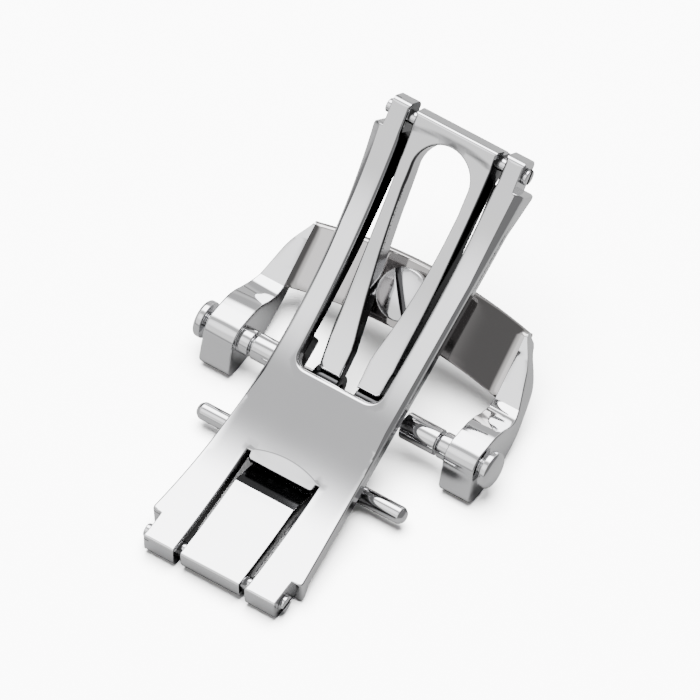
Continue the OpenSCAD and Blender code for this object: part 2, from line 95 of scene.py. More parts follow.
def arc_origin():
    """Where the blade's arc goes so that the clasp is centred along Y and stands on Z 0."""
    r, out, down = KNUCKLE_ROUND, HINGE_S - KNUCKLE_ROUND, KNUCKLE_H / 2 - KNUCKLE_ROUND
    y, z = arc(HINGE_S, KNUCKLE_H / 2)
    a = slope(HINGE_S)
    front = y - HINGE_S * math.cos(a) - KNUCKLE_H / 2 * math.sin(a)
    low = z - out * math.sin(a) - down * math.cos(a) - r
    y, z = arc(BLADE_LEN - HINGE_S, KNUCKLE_H / 2)
    a = slope(BLADE_LEN - HINGE_S)
    back = y + out * math.cos(a) + down * math.sin(a) + r
    return -(front + back) / 2, -low


ARC_Y, ARC_Z = arc_origin()


def on_blade(s, drop):
    """Y and Z of a place on the blade."""
    y, z = arc(s, drop)
    return ARC_Y + y, ARC_Z + z


CROSS = on_blade(CUT_B_START + CROSS_PAST, LUG_H + LATCH_GAP + PIN_R)
FORK_HINGE = on_blade(BLADE_LEN - HINGE_S, KNUCKLE_H / 2)
TONGUE_HINGE = on_blade(HINGE_S, KNUCKLE_H / 2)
STRAP = on_blade(STRAP_S, STRAP_DROP)
FORK_LEN = math.dist(CROSS, FORK_HINGE)
FORK_ANGLE = math.atan2(FORK_HINGE[1] - CROSS[1], FORK_HINGE[0] - CROSS[0])

# The blade's waisted sides are arcs of this radius
SIDE_REACH = BLADE_LEN / 2 - NOTCH
SIDE_SAG = (SHOULDER - WAIST) / 2
SIDE_R = (SIDE_REACH * SIDE_REACH + SIDE_SAG * SIDE_SAG) / (2 * SIDE_SAG)


def half_width(s):
    """Half the blade's width between its shoulders."""
    y = BLADE_R * math.sin((s - BLADE_LEN / 2) / BLADE_R)
    return min(SHOULDER / 2, WAIST / 2 + SIDE_R - math.sqrt(SIDE_R ** 2 - y * y))


# Mesh helpers
# Material slots: the piece's own steel, and the painted shade material
PLAIN, PAINTED_SHADE = 0, 1
SHARP_ANGLE = math.radians(24)
RIM_STEPS, LEAST_RING = 5, 0.008
TOP_ROUND, UNDER_ROUND = 2, 3
INSIDE_ONLY, MERGE_WITHIN = 1, 1e-6


class Surface:
    """Vertices and faces of one piece, in mm, with each face's material slot."""

    def __init__(self):
        self.verts, self.faces, self.slots = [], [], []

    def add(self, verts, faces, slots=None):
        base = len(self.verts)
        self.verts += [tuple(p) for p in verts]
        self.faces += [tuple(base + i for i in f) for f in faces]
        self.slots += slots or [PLAIN] * len(faces)

    # Every face of the piece takes the painted shade material
    def in_painted_shade(self):
        self.slots = [PAINTED_SHADE] * len(self.faces)
        return self

    def mirrored(self):
        other = Surface()
        other.verts = [(-x, y, z) for x, y, z in self.verts]
        other.faces = [tuple(reversed(f)) for f in self.faces]
        other.slots = list(self.slots)
        return other

    def join(self, other):
        self.add(other.verts, other.faces, other.slots)
        return self


def piece(name, surface, body, nodes, material):
    """A visual piece that rides on a body and replaces these CAD nodes."""
    mesh = bpy.data.meshes.new(name)
    mesh.from_pydata([[c * MM for c in p] for p in surface.verts], [], surface.faces)
    mesh.materials.append(material)
    # Faces marked for painted shade take the near-black second material
    if any(surface.slots):
        mesh.materials.append(painted_shade_material)
        mesh.polygons.foreach_set("material_index", surface.slots)
    mesh.validate()
    mesh.update()
    for polygon in mesh.polygons:
        polygon.use_smooth = True
    mesh.set_sharp_from_angle(angle=SHARP_ANGLE)
    obj = bpy.data.objects.new(name, mesh)
    bpy.context.collection.objects.link(obj)
    normals = obj.modifiers.new("normals", "WEIGHTED_NORMAL")
    normals.mode = "FACE_AREA"
    normals.keep_sharp = True
    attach(obj, body)
    if nodes:
        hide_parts(*nodes)
    return obj


def clamp(t):
    return max(0.0, min(1.0, t))


def ease(t):
    """From 0 to 1 as t does, level at both ends."""
    t = clamp(t)
    return t * t * (3 - 2 * t)


def smooth(points, steps=8):
    """Points on a smooth curve through these points."""
    p = [Vector(q) for q in points]
    out = []
    for i in range(len(p) - 1):
        a, b, c, d = p[max(i - 1, 0)], p[i], p[i + 1], p[min(i + 2, len(p) - 1)]
        for k in range(steps):
            t = k / steps
            q = (2 * b + (c - a) * t + (2 * a - 5 * b + 4 * c - d) * t * t
                 + (3 * b - a - 3 * c + d) * t ** 3) / 2
            out.append(tuple(q))
    out.append(tuple(p[-1]))
    return out


def dense(points, step):
    """Outline points (a, b, top round, under round) split to at most step."""
    out = []
    for p, q in zip(points, points[1:] + points[:1]):
        n = max(1, math.ceil(math.dist(p[:2], q[:2]) / step))
        for i in range(n):
            t = i / n
            out.append((p[0] + (q[0] - p[0]) * t, p[1] + (q[1] - p[1]) * t, p[2], p[3]))
    return out


def heights(radii):
    """How far below its cap each ring of a rim with these rounds lies."""
    found = {0.0}
    for r in radii:
        for i in range(1, RIM_STEPS + 1):
            found.add(round(r * (1 - math.cos(math.pi / 2 * i / RIM_STEPS)), 4))
    kept = []
    for h in sorted(found):
        if not kept or h - kept[-1] > LEAST_RING or h in radii:
            kept.append(h)
    return kept


def inset(r, h):
    """How far a round of radius r draws an outline in at height h from the cap."""
    if h >= r:
        return 0.0
    return r - math.sqrt(max(0.0, r * r - (r - h) ** 2))


def offset(points, which, h):
    """The outline drawn in at height h from a cap, each edge by its own round."""
    nearly_straight = 0.97
    n = len(points)
    normals = []
    for i in range(n):
        p, q = points[i], points[(i + 1) % n]
        d = math.dist(p[:2], q[:2])
        normals.append((-(q[1] - p[1]) / d, (q[0] - p[0]) / d))
    out = []
    for i in range(n):
        n1, n2 = normals[i - 1], normals[i]
        i1, i2 = inset(points[i - 1][which], h), inset(points[i][which], h)
        dot = n1[0] * n2[0] + n1[1] * n2[1]
        if dot > nearly_straight:
            m = (i1 + i2) / 2 / (1 + dot)
            vx, vy = (n1[0] + n2[0]) * m, (n1[1] + n2[1]) * m
        else:
            det = n1[0] * n2[1] - n1[1] * n2[0]
            vx = (i1 * n2[1] - i2 * n1[1]) / det
            vy = (n1[0] * i2 - n2[0] * i1) / det
        out.append((points[i][0] + vx, points[i][1] + vy))
    return out


def inside(px, py, poly):
    """Which points (arrays) lie in the polygon."""
    hit = np.zeros(len(px), bool)
    a = np.array(poly)
    b = np.roll(a, -1, axis=0)
    for (x0, y0), (x1, y1) in zip(a, b):
        if y0 == y1:
            continue
        cross = ((y0 > py) != (y1 > py)) & (px < (x1 - x0) * (py - y0) / (y1 - y0) + x0)
        hit ^= cross
    return hit


def cap(poly, step, lines):
    """Triangles over a polygon with points inside it, and creases along lines."""
    clear = 0.45 * step
    n = len(poly)
    pts = [Vector(p) for p in poly]
    edges = [(i, (i + 1) % n) for i in range(n)]
    for line in lines:
        base = len(pts)
        pts += [Vector(p) for p in line]
        edges += [(base + i, base + i + 1) for i in range(len(line) - 1)]
    fixed = np.array([tuple(p) for p in pts])
    lo, hi = fixed.min(axis=0), fixed.max(axis=0)
    gx, gy = np.meshgrid(np.arange(lo[0] + step / 2, hi[0], step),
                         np.arange(lo[1] + step / 2, hi[1], step))
    gx, gy = gx.ravel(), gy.ravel()
    keep = inside(gx, gy, poly)
    gx, gy = gx[keep], gy[keep]
    far = np.ones(len(gx), bool)
    for p in fixed:
        far &= (gx - p[0]) ** 2 + (gy - p[1]) ** 2 > clear ** 2
    pts += [Vector((x, y)) for x, y in zip(gx[far], gy[far])]
    verts, _, triangles, origins, _, _ = delaunay_2d_cdt(pts, edges, [], INSIDE_ONLY, MERGE_WITHIN)
    on_outline = [min([k for k in o if k < n], default=-1) for o in origins]
    return np.array([tuple(v) for v in verts]), triangles, on_outline


def flat(a, b):
    return 0.0


def shell(points, place, depth, top=flat, lines=(), step=0.5, grid=0.5,
          dark=None, line=None, line_rings=4):
    """A plate: outline (a, b), placed by place(a, b, drop), with rounded rims.
    Its face lies top(a, b) down and its underside depth(a, b) down.
    Where dark(a, b) holds, the wall takes the painted shade material, and where
    line(a, b) holds, only the lowest rings of its upper rim do, as a painted shade line."""
    points = dense(points, step)
    n = len(points)
    top_heights = heights(sorted({p[TOP_ROUND] for p in points}))
    under_heights = heights(sorted({p[UNDER_ROUND] for p in points}))
    rings = []
    for h in top_heights:
        rings.append([(x, y, top(x, y) + h) for x, y in offset(points, TOP_ROUND, h)])
    for h in reversed(under_heights):
        rings.append([(x, y, depth(x, y) - h) for x, y in offset(points, UNDER_ROUND, h)])
    verts = [place(*p) for ring in rings for p in ring]
    faces, slots = [], []
    walls = len(top_heights) - 1
    for k in range(len(rings) - 1):
        for i in range(n):
            j = (i + 1) % n
            faces.append((k * n + i, (k + 1) * n + i, (k + 1) * n + j, k * n + j))
            mid = [(points[i][c] + points[j][c]) / 2 for c in (0, 1)]
            # Painted shade on walls in recesses, and painted shade lines along rims
            shade = dark and k >= walls - 2 and dark(*mid)
            edge = line and walls - line_rings <= k < walls and line(*mid)
            slots.append(PAINTED_SHADE if shade or edge else PLAIN)
    for ring, height, creases in ((0, top, lines), (len(rings) - 1, depth, ())):
        xy, triangles, on_outline = cap([(x, y) for x, y, _ in rings[ring]], grid, creases)
        ids = []
        for (x, y), k in zip(xy, on_outline):
            if k >= 0:
                ids.append(ring * n + k)
            else:
                ids.append(len(verts))
                verts.append(place(x, y, height(x, y)))
        for a, b, c in triangles:
            corners = (ids[a], ids[b], ids[c])
            if len(set(corners)) == 3:
                faces.append(corners if ring == 0 else corners[::-1])
                slots.append(PLAIN)
    surface = Surface()
    surface.add(verts, faces, slots)
    return surface


def lathe(profile, at, round_r):
    """A turned piece along X: profile is (x, radius) from left to right, closed
    on the axis where it starts and ends at radius 0."""
    nearly_straight, least_round, most_of_edge = 0.995, 0.004, 0.45
    n = 72
    pts = []
    m = len(profile)
    closed = profile[0][1] > 0
    for i, p in enumerate(profile):
        if not closed and i in (0, m - 1):
            pts.append(p)
            continue
        a, b = Vector(profile[i - 1]), Vector(profile[(i + 1) % m])
        c = Vector(p)
        r = min(round_r, (a - c).length * most_of_edge, (b - c).length * most_of_edge)
        d1, d2 = (a - c).normalized(), (b - c).normalized()
        if abs(d1.dot(d2)) > nearly_straight or r < least_round:
            pts.append(p)
            continue
        s, e = c + d1 * r, c + d2 * r
        for t in (0, 0.25, 0.5, 0.75, 1):
            q = (s * (1 - t) + c * t).lerp(c * (1 - t) + e * t, t)
            pts.append((q.x, q.y))
    verts, faces, rows = [], [], []
    for x, r in pts:
        if r < MERGE_WITHIN:
            rows.append([len(verts)] * n)
            verts.append((x, at[0], at[1]))
            continue
        rows.append(list(range(len(verts), len(verts) + n)))
        for i in range(n):
            t = 2 * math.pi * i / n
            verts.append((x, at[0] + r * math.cos(t), at[1] + r * math.sin(t)))
    pairs = list(zip(rows, rows[1:])) + ([(rows[-1], rows[0])] if closed else [])
    for p, q in pairs:
        for i in range(n):
            j = (i + 1) % n
            corners = tuple(dict.fromkeys((p[i], p[j], q[j], q[i])))
            if len(corners) > 2:
                faces.append(corners[::-1])
    surface = Surface()
    surface.add(verts, faces)
    return surface


# Materials
def add_node(tree, kind, inputs, **settings):
    """A node with its settings, and for each input a value or the output that feeds it."""
    node = tree.nodes.new("ShaderNode" + kind)
    for setting, value in settings.items():
        setattr(node, setting, value)
    for name, value in inputs.items():
        if isinstance(value, bpy.types.NodeSocket):
            tree.links.new(value, node.inputs[name])
        else:
            node.inputs[name].default_value = value
    return node


def steel(name, base, rough, spread=0.02, bump=0.02, dish=None):
    """Polished steel: faint haze in tone and gloss, and a little waviness. With a dish
    (slope, bend), its face shades as if it rose by (slope + bend * x) * x at x metres."""
    haze_scale, fine_scale, wave_depth, haze_tone = 225.0, 900.0, 0.02 * MM, 0.965
    material = bpy.data.materials.new(name)
    material.use_nodes = True
    tree = material.node_tree
    shader = tree.nodes["Principled BSDF"]
    shader.inputs["Metallic"].default_value = 1.0
    spot = add_node(tree, "TexCoord", {}).outputs["Object"]
    haze = add_node(tree, "TexNoise", {"Vector": spot, "Scale": haze_scale, "Detail": 4.0})
    fine = add_node(tree, "TexNoise", {"Vector": spot, "Scale": fine_scale, "Detail": 6.0})
    tone = add_node(tree, "Mix", {"Factor": haze.outputs["Fac"], "B": (*base, 1),
                                  "A": (*[c * haze_tone for c in base], 1)}, data_type="RGBA")
    wear = add_node(tree, "MapRange", {
        "Value": haze.outputs["Fac"], "From Min": 0.3, "From Max": 0.7,
        "To Min": rough - spread, "To Max": rough + spread})
    relief = add_node(tree, "Bump", {"Strength": bump, "Distance": wave_depth,
                                     "Height": fine.outputs["Fac"]})
    tree.links.new(tone.outputs["Result"], shader.inputs["Base Color"])
    tree.links.new(wear.outputs["Result"], shader.inputs["Roughness"])
    tree.links.new(relief.outputs["Normal"], shader.inputs["Normal"])
    if dish:
        x = add_node(tree, "SeparateXYZ", {"Vector": spot}).outputs["X"]
        grade = add_node(tree, "Math", {0: x, 1: dish[1], 2: dish[0]}, operation="MULTIPLY_ADD")
        rise = add_node(tree, "Math", {0: grade.outputs["Value"], 1: x}, operation="MULTIPLY")
        dished = add_node(tree, "Bump", {"Strength": 1.0, "Distance": 1.0,
                                         "Height": rise.outputs["Value"]})
        tree.links.new(dished.outputs["Normal"], relief.inputs["Normal"])
    return material


polished = steel("polished_steel", (0.74, 0.74, 0.75), 0.06)
plate_mat = steel("plate_steel", (0.42, 0.405, 0.40), 0.07, dish=(-0.18, -10.0))
pin_mat = steel("pin_steel", (0.72, 0.72, 0.73), 0.10, 0.03)
# Near-black steel for painted shade: cutout, gap and slot walls, recessed parts, and painted shade lines
# along rims
painted_shade_material = steel("painted_shade_steel", (0.05, 0.05, 0.052), 0.13, 0.05)
spring_mat = steel("spring_steel", (0.60, 0.60, 0.62), 0.28, 0.06, 0.05)


# Blade
WAIST_FACET, WAIST_FACET_FROM, WAIST_FACET_GROWS = 0.34, 11.0, 5.0
FACET_PAST_MIDDLE = 6.0
SCOOP_HALF, SCOOP_REACH, SCOOP_FALL, SCOOP_EASE = CUT_A - 0.1, 0.67, 0.26, 0.05
SCOOP_R = (SCOOP_HALF ** 2 + SCOOP_REACH ** 2) / (2 * SCOOP_REACH)
LIP, LIP_HALF, LIP_HOLLOW, LIP_CORNER = 0.6, CUT_A - 0.35, 0.45, 0.15
# The scoop lies within this far before and past the tongue cutout's end
SCOOP_BEFORE, SCOOP_PAST = 0.9, 1.2
# How fast the blade thickens towards its knuckles, at the fork's end and at the tongue's
FORK_END_FALL, TONGUE_END_FALL = 0.3, 1.0
# Roundings that several rims share
CRISP, FINE, SOFT, CUT_RIM, CORNER_RIM, KNUCKLE_RIM = 0.08, 0.1, 0.15, 0.2, 0.4, 0.45


def facet_width(s):
    """The facets start slim behind the tongue cutout and widen to the far shoulders."""
    t = (s - BLADE_LEN / 2 - FACET_PAST_MIDDLE) / (BLADE_LEN / 2 - NOTCH - FACET_PAST_MIDDLE)
    slim = WAIST_FACET * clamp((s - WAIST_FACET_FROM) / WAIST_FACET_GROWS)
    return max(slim, FACET_W * clamp(t) ** 0.6)


def facet_edge(s):
    return half_width(s) - facet_width(s)


def facet(x, s):
    """How far the facets have fallen at a place."""
    end = min(s, BLADE_LEN - s)
    if end < NOTCH - 0.05:
        return 0.0
    return max(0.0, abs(x) - facet_edge(s)) * FACET_DROP / FACET_W


def scoop_edge(x):
    """How far the scoop's rim reaches beyond the tongue cutout at x."""
    y = SCOOP_R ** 2 - x * x
    return SCOOP_REACH + SCOOP_EASE - SCOOP_R + math.sqrt(y) if y > 0 else -1.0


def blade_top(x, s):
    drop = facet(x, s)
    if abs(x) < SCOOP_HALF and CUT_A_LEN - SCOOP_BEFORE < s < CUT_A_LEN + SCOOP_PAST:
        drop = max(drop, (scoop_edge(x) - (s - CUT_A_LEN)) * SCOOP_FALL)
    return drop


def blade_depth(x, s):
    end = min(s, BLADE_LEN - s)
    behind = 0.3
    if abs(x) < LIP_HALF + 0.02 and CUT_A_LEN - LIP - 0.1 < s < CUT_A_LEN + behind:
        return BLADE_T - LIP_HOLLOW * min(1.0, (CUT_A_LEN + behind - s) / (LIP + behind))
    fall = FORK_END_FALL if s > BLADE_LEN / 2 else TONGUE_END_FALL
    return min(KNUCKLE_H - 0.02, max(BLADE_T, KNUCKLE_H - fall * (end - NOTCH)))


def blade_point(x, s, drop):
    """The fork cutout's walls slope in towards the underside."""
    end, start = BLADE_LEN - NOTCH, CUT_B_START + CUT_B_CORNER
    wall, fade = 0.9, 0.4
    along = (s - start) / (end - start)
    edge = CUT_B + (CUT_B_OPEN - CUT_B) * along
    if 0.0 < along < 1.0 and edge - 0.3 < abs(x) < edge + wall:
        lean = max(0.0, edge - CUT_B - 0.02) * min(1.0, (end - s) / fade)
        lean *= 1.0 - max(0.0, abs(x) - edge) / wall
        x -= math.copysign(lean * min(1.0, drop / BLADE_T), x)
    return (x, *on_blade(s, drop))


def blade_sides():
    """The right side between the shoulders, from near to far, as (x, s)."""
    near = [(half_width(NOTCH) - 0.3, NOTCH), (half_width(NOTCH) - 0.09, NOTCH + 0.09)]
    waisted = [(half_width(s), s) for s in np.linspace(NOTCH + 0.3, BLADE_LEN - NOTCH - 0.3, 90)]
    return near + waisted + [(x, BLADE_LEN - s) for x, s in reversed(near)]


def blade_outline():
    """Once round, as (x, s, rim, rim below), from the near end's right knuckle."""
    knuckle, end = KNUCKLE_W / 2, BLADE_LEN
    side = blade_sides()
    p = [(CUT_A, 0, 0.22, KNUCKLE_ROUND), (knuckle, 0, CRISP, FINE), (knuckle, NOTCH, CRISP, FINE)]
    p += [(x, s, SOFT, FINE) for x, s in side]
    p += [(knuckle, end - NOTCH, CRISP, FINE), (knuckle, end, KNUCKLE_RIM, KNUCKLE_ROUND),
          (CUT_B_OPEN, end, 0.3, FINE), (CUT_B_OPEN, end - NOTCH, CUT_RIM, FINE)]
    right = [(CUT_B, CUT_B_START + CUT_B_CORNER, CUT_RIM)]
    corner_steps = 9
    for i in range(1, corner_steps + 1):
        t = math.pi / 2 * i / corner_steps
        rim = CUT_RIM + (CORNER_RIM - CUT_RIM) * i / corner_steps
        right.append((CUT_B - CUT_B_CORNER + math.cos(t), CUT_B_START + CUT_B_CORNER - math.sin(t), rim))
    p += [(x, s, rim, FINE) for x, s, rim in right]
    rims = [rim for _, _, rim in reversed(right)][1:] + [CUT_RIM]
    p += [(-x, s, rim, FINE) for (x, s, _), rim in zip(reversed(right), rims)]
    p += [(-CUT_B_OPEN, end - NOTCH, CUT_RIM, FINE), (-CUT_B_OPEN, end, KNUCKLE_RIM, KNUCKLE_ROUND),
          (-knuckle, end, CRISP, FINE), (-knuckle, end - NOTCH, CRISP, FINE)]
    p += [(-x, s, CUT_RIM, FINE) for x, s in reversed(side)]
    p[-1] = (*p[-1][:2], CRISP, FINE)
    p += [(-knuckle, NOTCH, CRISP, FINE), (-knuckle, 0, 0.22, KNUCKLE_ROUND), (-CUT_A, 0, SOFT, FINE)]
    tip = CUT_A_LEN - LIP
    lip = [(-CUT_A, CUT_A_LEN, FINE), (-LIP_HALF - 0.05, CUT_A_LEN, FINE),
           (-LIP_HALF, tip + LIP_CORNER, 0.12), (-LIP_HALF + LIP_CORNER, tip, 0.12),
           (LIP_HALF - LIP_CORNER, tip, 0.12), (LIP_HALF, tip + LIP_CORNER, 0.12),
           (LIP_HALF + 0.05, CUT_A_LEN, FINE), (CUT_A, CUT_A_LEN, SOFT)]
    return p + [(x, s, rim, FINE) for x, s, rim in lip]


def blade_creases():
    """Lines that the face's triangles follow: three at the scoop's rim, one at each facet."""
    lines = [[(x, CUT_A_LEN + scoop_edge(x) + gap) for x in np.linspace(-2.6, 2.6, 33)]
             for gap in (0.0, 0.07, -0.07)]
    first, last = 14.2, BLADE_LEN - NOTCH - 0.15
    stops = [first + (last - first) * i / 64 for i in range(65)]
    return lines + [[(side * facet_edge(s), s) for s in stops] for side in (-1, 1)]


def painted_shade_in_cutouts(x, s):
    """The cutouts' walls, without the blade's end walls: these take painted shade."""
    beside, end = 0.02, 0.05
    near = abs(x) < CUT_A + beside and end < s < CUT_A_LEN + end
    far = abs(x) < CUT_B_OPEN + beside and CUT_B_START + CUT_B_CORNER < s < BLADE_LEN - end
    return near or far


# The blade's left rims get a painted shade line
def painted_shade_line_left(x, s):
    return x < -5.3


def lug_point(a, b, drop):
    return (CUT_B + drop, *on_blade(CUT_B_START + a, b))


LUG_TOP = 0.8
lug_outline = [(0.0, LUG_TOP, 0.15, 0.4), (LUG_LEN, LUG_TOP, 0.4, 0.4), (LUG_LEN, LUG_H, 0.3, 0.2),
               (0.0, LUG_H, 0.1, 0.1)]
# The catch lugs stand in the fork cutout's corners and are painted wholly in shade
lug = shell(lug_outline, lug_point, lambda a, b: LUG_T).in_painted_shade()
# Painted shade on the cutouts' walls, and a painted shade line along the left rims
blade = shell(blade_outline(), blade_point, blade_depth, blade_top, blade_creases(), dark=painted_shade_in_cutouts,
              line=painted_shade_line_left)
blade.join(lug).join(lug.mirrored())
piece("blade_body", blade, "blade", ["base_blade"], polished)

# Fork: a place on it is x across it and u along it, from the cross bar's axis
FORK_HALF, FORK_PAST, SLOT_HALF, ARM_START = 3.65, 0.82, 0.75, 1.0
KEYHOLE, KEYHOLE_END = 2.35, FORK_LEN - 2.9
BAND_DROP, BAND_FROM, BAND_BOW, BAND_FADE = 0.11, 0.5, 0.45, 0.85
# Where the leaf thickens, before its hinge axis: from, over and by how much
THICKEN_FROM, THICKEN_OVER, THICKEN_BY = 7.5, 5.6, 0.65
HEEL_FROM, HEEL_OVER, HEEL_BY = 1.9, 0.8, 0.5
# Where its walls take painted shade: by the tips, and outside the keyhole to just past the hinge axis
PAINTED_SHADE_TIPS, PAINTED_SHADE_OUTSIDE, PAINTED_SHADE_PAST, ALL_RINGS = 7.5, 2.4, 0.6, 24
# The arms' flanks. Each row: the distance u, an arm's inner and outer edge on the
# underside, and how far its face stays back from each
FLANKS = [(ARM_START, SLOT_HALF, 2.8, 0.0, 0.15), (2.6, SLOT_HALF, 3.12, 0.0, 0.35),
          (3.9, 0.85, 3.34, 0.0, 0.50), (5.2, 1.02, 3.42, 0.12, 0.52), (7.2, 1.30, 3.47, 0.25, 0.48),
          (10.7, 1.74, 3.57, 0.33, 0.42), (13.5, 1.97, 3.60, 0.36, 0.36),
          (15.9, 2.14, FORK_HALF, 0.33, 0.30), (KEYHOLE_END, KEYHOLE, FORK_HALF, 0.08, 0.22),
          (KEYHOLE_END + KEYHOLE, 0.0, FORK_HALF, 0.0, 0.14)]


def fork_flank(x, u, drop):
    """The arms' sloped flanks: the face is narrower than the underside."""
    stops, *columns = zip(*FLANKS)
    inner, outer, back_in, back_out = (float(np.interp(u, stops, column)) for column in columns)
    if u > KEYHOLE_END:
        inner = math.sqrt(max(0.0, KEYHOLE ** 2 - (u - KEYHOLE_END) ** 2))
    rise = max(0.0, 1.0 - drop / FORK_T)
    scale = 1.0 - rise * (back_in + back_out) / (outer - inner)
    return math.copysign(inner + back_in * rise + (abs(x) - inner) * scale, x)


def fork_point(x, u, drop):
    x = fork_flank(x, u, drop)
    mid = FORK_LEN / 2
    t = math.asin((u - mid) / FORK_R)
    along = mid + (FORK_R + drop) * math.sin(t)
    up = FORK_RISE + FORK_R - (FORK_R + drop) * math.cos(t)
    c, s = math.cos(FORK_ANGLE), math.sin(FORK_ANGLE)
    return (x, CROSS[0] + along * c - up * s, CROSS[1] + along * s + up * c)


def fork_top(x, u):
    """The leaf's face lies a little below the flat band over the hinge."""
    edge = FORK_LEN - BAND_FROM - BAND_BOW * (x / FORK_HALF) ** 2
    return BAND_DROP * (1 - ease((u - edge) / BAND_FADE))


def fork_depth(x, u):
    """The leaf thickens towards its hinge, and more over its last stretch."""
    t = clamp((u - (FORK_LEN - THICKEN_FROM)) / THICKEN_OVER)
    heel = clamp((u - (FORK_LEN - HEEL_FROM)) / HEEL_OVER)
    return FORK_T + THICKEN_BY * t * t + HEEL_BY * heel


def fork_painted_shade_wall(x, u):
    return u < PAINTED_SHADE_TIPS or (abs(x) > PAINTED_SHADE_OUTSIDE and u < FORK_LEN + PAINTED_SHADE_PAST)


# The arms' upper rims take a painted shade line through all their rings
def fork_painted_shade_rim(x, u):
    return 2 < u < FORK_LEN + 0.3


def fork_outline():
    """Once round the arms and back round the keyhole, as (x, u, rim, rim below)."""
    knee, end, far = 3.7, KEYHOLE_END, FORK_LEN + FORK_PAST
    side = smooth([(2.5, ARM_START), (2.8, 1.25), (2.96, 1.8), (3.12, 2.6), (3.32, 3.6), (3.44, 6.0),
                   (FORK_HALF - 0.08, 9.5), (FORK_HALF, end)], 5)
    hole = smooth([(SLOT_HALF, ARM_START), (SLOT_HALF, knee - 0.6), (0.84, knee), (1.3, 7.2),
                   (KEYHOLE * 0.74, (knee + end) / 2), (2.14, end - 2.0), (KEYHOLE, end)], 4)
    p = [(SLOT_HALF, ARM_START, SOFT, CRISP)] + [(x, u, 0.14, CRISP) for x, u in side]
    p += [(FORK_HALF, far, 0.3, 1.0), (-FORK_HALF, far, CUT_RIM, CRISP)]
    p += [(-x, u, 0.14, CRISP) for x, u in reversed(side)]
    p += [(-x, u, CUT_RIM, CRISP) for x, u in hole]
    for i in range(1, 18):
        t = math.pi * i / 18
        p.append((-KEYHOLE * math.cos(t), end + KEYHOLE * math.sin(t), CUT_RIM - 0.0044 * i, CRISP))
    return p + [(x, u, 0.12, CRISP) for x, u in reversed(hole[1:])]


# Painted shade on the walls by the tips and outside the keyhole, and painted shade lines along the rims
fork = shell(fork_outline(), fork_point, fork_depth, fork_top, step=0.3, grid=0.3,
             dark=fork_painted_shade_wall, line=fork_painted_shade_rim, line_rings=ALL_RINGS)
BARREL_OUT = 3.0
barrel_profile = [(SLOT_HALF, PIN_SEAT_R), (SLOT_HALF, BARREL_R),
                  (BARREL_OUT, BARREL_R), (BARREL_OUT, PIN_SEAT_R)]
# The barrels under the fork's tips are painted wholly in shade
barrel = lathe(barrel_profile, CROSS, 0.12).in_painted_shade()
fork.join(barrel).join(barrel.mirrored())
piece("fork_leaf_body", fork, "fork", ["fork_leaf"], polished)

# Tongue: a plate seen from the side, with a roll round the strap bar and one at its hinge
TONGUE_HALF, ROLL_R, BEND_S = 2.6, 1.25, 7.5
ROLL_FROM, ROLL_SWEEP = 150, -263
# The underside behind the bend, and the upper corner at the hinge, from its axis
BELOW_BEND = [(8.6, 1.75), (7.6, 1.3)]
BELOW_FACE_FROM = 7.2
HINGE_CORNER = [(-1.1, 0.85), (-1.06, 0.98), (-0.98, 1.07), (-0.85, 1.1)]


def side_plate(outline, half, rim, dark):
    """A plate seen from the side: outline (y, z), of this half width."""
    if sum(p[0] * q[1] - q[0] * p[1] for p, q in zip(outline, outline[1:] + outline[:1])) < 0:
        outline = outline[::-1]
    return shell([(y, z, rim, rim) for y, z in outline], lambda y, z, drop: (half - drop, y, z),
                 depth=lambda y, z: 2 * half, step=0.4, dark=dark)


def on_roll(degrees):
    t = math.radians(degrees)
    return STRAP[0] + ROLL_R * math.cos(t), STRAP[1] + ROLL_R * math.sin(t)


def at_tongue_hinge(a, b):
    c, s = math.cos(slope(HINGE_S)), math.sin(slope(HINGE_S))
    return TONGUE_HINGE[0] + a * c - b * s, TONGUE_HINGE[1] + a * s + b * c


def tongue_outline(bend):
    """From the hinge along the face, down to the roll, round it and back below."""
    p = [on_blade(HINGE_S + (BEND_S - 0.08 - HINGE_S) * i / 32, 0.0) for i in range(33)]
    start = Vector(p[-1])
    stop = bend + (Vector(on_roll(ROLL_FROM)) - bend) * 0.03
    for t in (0.25, 0.5, 0.75, 1.0):
        p.append(tuple((start * (1 - t) + bend * t).lerp(bend * (1 - t) + stop * t, t)))
    p += [on_roll(ROLL_FROM + ROLL_SWEEP * i / 16) for i in range(17)]
    p += [on_blade(s, drop) for s, drop in BELOW_BEND]
    p += [on_blade(BELOW_FACE_FROM - (BELOW_FACE_FROM - NOTCH) * i / 12, BLADE_T) for i in range(13)]
    for i in range(1, 14):
        t = math.radians(-30 - 150 * i / 13)
        p.append(at_tongue_hinge(BARREL_R * math.cos(t), BARREL_R * math.sin(t)))
    return p + [at_tongue_hinge(a, b) for a, b in HINGE_CORNER]


bend = Vector(on_blade(BEND_S, 0.0))
# Painted shade on the tongue's slope between the bend and the strap bar, in the recess under the blade's
# lip
tongue = side_plate(tongue_outline(bend), TONGUE_HALF, CRISP,
                    dark=lambda y, z: bend.x + 0.03 < y < STRAP[0] and z > STRAP[1] + 0.3)
piece("tongue_leaf_body", tongue, "tongue", ["tongue_leaf"], polished)

# Frame: in its side view, y and z are measured from the cross bar's axis
EAR_IN, EAR_OUT, EAR_R, FOOT_R, ARM_CORNER = 9.3, 11.95, 1.55, 1.05, 0.4
PLATE_TILT = math.radians(37)
PLATE_W, PLATE_T, PLATE_BOW = 5.4, 1.4, 1.0
ALONG = Vector((math.cos(PLATE_TILT), math.sin(PLATE_TILT)))
NORMAL = Vector((-ALONG.y, ALONG.x))
PLATE_START = Vector((5.5, 0.3))
FAR_Y = PLATE_START.x + PLATE_W * ALONG.x


def round_points(cy, cz, r, first, last, steps):
    angles = [math.radians(first + (last - first) * i / steps) for i in range(steps + 1)]
    return [(cy + r * math.cos(t), cz + r * math.sin(t)) for t in angles]


